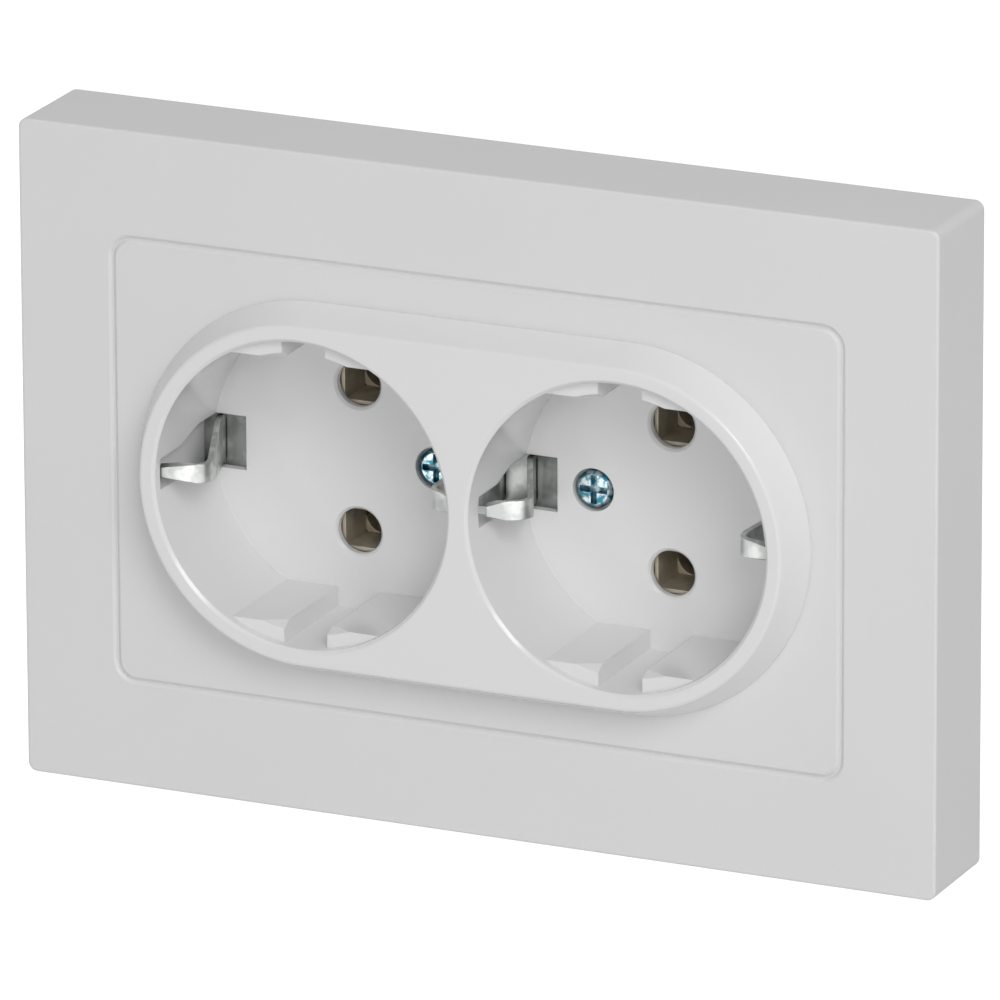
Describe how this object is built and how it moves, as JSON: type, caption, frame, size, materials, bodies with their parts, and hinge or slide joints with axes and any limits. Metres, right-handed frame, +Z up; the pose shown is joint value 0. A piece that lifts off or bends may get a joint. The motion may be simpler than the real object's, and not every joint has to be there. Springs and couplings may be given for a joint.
{
  "type": "double earthed wall socket",
  "caption": "Double earthed wall socket: rectangular frame and raised rim with recessed round wells, sprung side earth clips, and a round base for a flush wall box.",
  "frame": {"origin": "midway between the two box screw slots, in the plane of the wall", "axes": "+X right seen from the room, +Y into the wall, +Z up"},
  "size_m": [0.1224, 0.0446, 0.0848],
  "materials": {
    "frame_plastic": "satin",
    "cover_plastic": "gloss",
    "base_plastic": "matt",
    "button_plastic": "satin",
    "zinc": "blue zinc plate",
    "nickel": "bright nickel plate",
    "steel": "zinc plate, satin",
    "brass": "dull"
  },
  "bodies": {
    "housing": {"frame": "frame_plastic", "socket_cover": "cover_plastic", "cover_screw_left": "zinc", "cover_screw_right": "zinc", "cover_nuts": "zinc", "mounting_bridge": "steel", "bridge_rivets": "steel", "base": "base_plastic", "rear_cover": "base_plastic", "rear_screws": "zinc", "live_bar": "brass", "neutral_bar": "brass", "earth_bar": "nickel", "earth_rivets": "steel", "live_clamp": "nickel", "neutral_clamp": "nickel", "earth_clamp": "nickel"},
    "earth_clip_left_outer": {"earth_clip_left_outer": "nickel"},
    "earth_clip_left_inner": {"earth_clip_left_inner": "nickel"},
    "earth_clip_right_outer": {"earth_clip_right_outer": "nickel"},
    "earth_clip_right_inner": {"earth_clip_right_inner": "nickel"},
    "live_release": {"live_release": "button_plastic"},
    "neutral_release": {"neutral_release": "button_plastic"},
    "earth_release": {"earth_release": "button_plastic"},
    "claw_screw_left": {"claw_screw_left": "zinc"},
    "claw_nut_left": {"claw_nut_left": "zinc"},
    "claw_left": {"claw_left": "steel"},
    "claw_screw_right": {"claw_screw_right": "zinc"},
    "claw_nut_right": {"claw_nut_right": "zinc"},
    "claw_right": {"claw_right": "steel"}
  },
  "joints": [
    {"name": "earth_clip_left_outer_flex", "type": "hinge", "parent": "housing", "child": "earth_clip_left_outer", "pos_m": [-0.04005, -0.0004, 0], "axis": [0, 0, -1], "range_deg": [0, 2.5], "stiffness_Nm_per_rad": 0.8},
    {"name": "earth_clip_left_inner_flex", "type": "hinge", "parent": "housing", "child": "earth_clip_left_inner", "pos_m": [-0.00215, -0.0004, 0], "axis": [0, 0, 1], "range_deg": [0, 2.5], "stiffness_Nm_per_rad": 0.8},
    {"name": "earth_clip_right_outer_flex", "type": "hinge", "parent": "housing", "child": "earth_clip_right_outer", "pos_m": [0.04005, -0.0004, 0], "axis": [0, 0, 1], "range_deg": [0, 2.5], "stiffness_Nm_per_rad": 0.8},
    {"name": "earth_clip_right_inner_flex", "type": "hinge", "parent": "housing", "child": "earth_clip_right_inner", "pos_m": [0.00215, -0.0004, 0], "axis": [0, 0, -1], "range_deg": [0, 2.5], "stiffness_Nm_per_rad": 0.8},
    {"name": "live_release_push", "type": "slide", "parent": "housing", "child": "live_release", "axis": [0, -1, 0], "range_m": [0, 0.0012], "stiffness_N_per_m": 400},
    {"name": "neutral_release_push", "type": "slide", "parent": "housing", "child": "neutral_release", "axis": [0, -1, 0], "range_m": [0, 0.0012], "stiffness_N_per_m": 400},
    {"name": "earth_release_push", "type": "slide", "parent": "housing", "child": "earth_release", "axis": [0, -1, 0], "range_m": [0, 0.0012], "stiffness_N_per_m": 400},
    {"name": "claw_screw_left_turn", "type": "hinge", "parent": "housing", "child": "claw_screw_left", "pos_m": [-0.0242, 0.01, 0], "axis": [0, 1, 0], "range_deg": [0, 2160]},
    {"name": "claw_nut_left_slide", "type": "slide", "parent": "housing", "child": "claw_nut_left", "axis": [0, -1, 0], "range_m": [0, 0.003]},
    {"name": "claw_left_swing", "type": "hinge", "parent": "claw_nut_left", "child": "claw_left", "pos_m": [-0.0268, 0.0152, 0], "axis": [0, 0, -1], "range_deg": [0, 14]},
    {"name": "claw_screw_right_turn", "type": "hinge", "parent": "housing", "child": "claw_screw_right", "pos_m": [0.0242, 0.01, 0], "axis": [0, 1, 0], "range_deg": [0, 2160]},
    {"name": "claw_nut_right_slide", "type": "slide", "parent": "housing", "child": "claw_nut_right", "axis": [0, -1, 0], "range_m": [0, 0.003]},
    {"name": "claw_right_swing", "type": "hinge", "parent": "claw_nut_right", "child": "claw_right", "pos_m": [0.0268, 0.0152, 0], "axis": [0, 0, 1], "range_deg": [0, 14]}
  ],
  "couplings": [
    {"joint": "claw_screw_left_turn", "follows": "claw_nut_left_slide", "rad_per_m": 12566},
    {"joint": "claw_left_swing", "follows": "claw_nut_left_slide", "rad_per_m": 81.44},
    {"joint": "claw_screw_right_turn", "follows": "claw_nut_right_slide", "rad_per_m": 12566},
    {"joint": "claw_right_swing", "follows": "claw_nut_right_slide", "rad_per_m": 81.44}
  ]
}
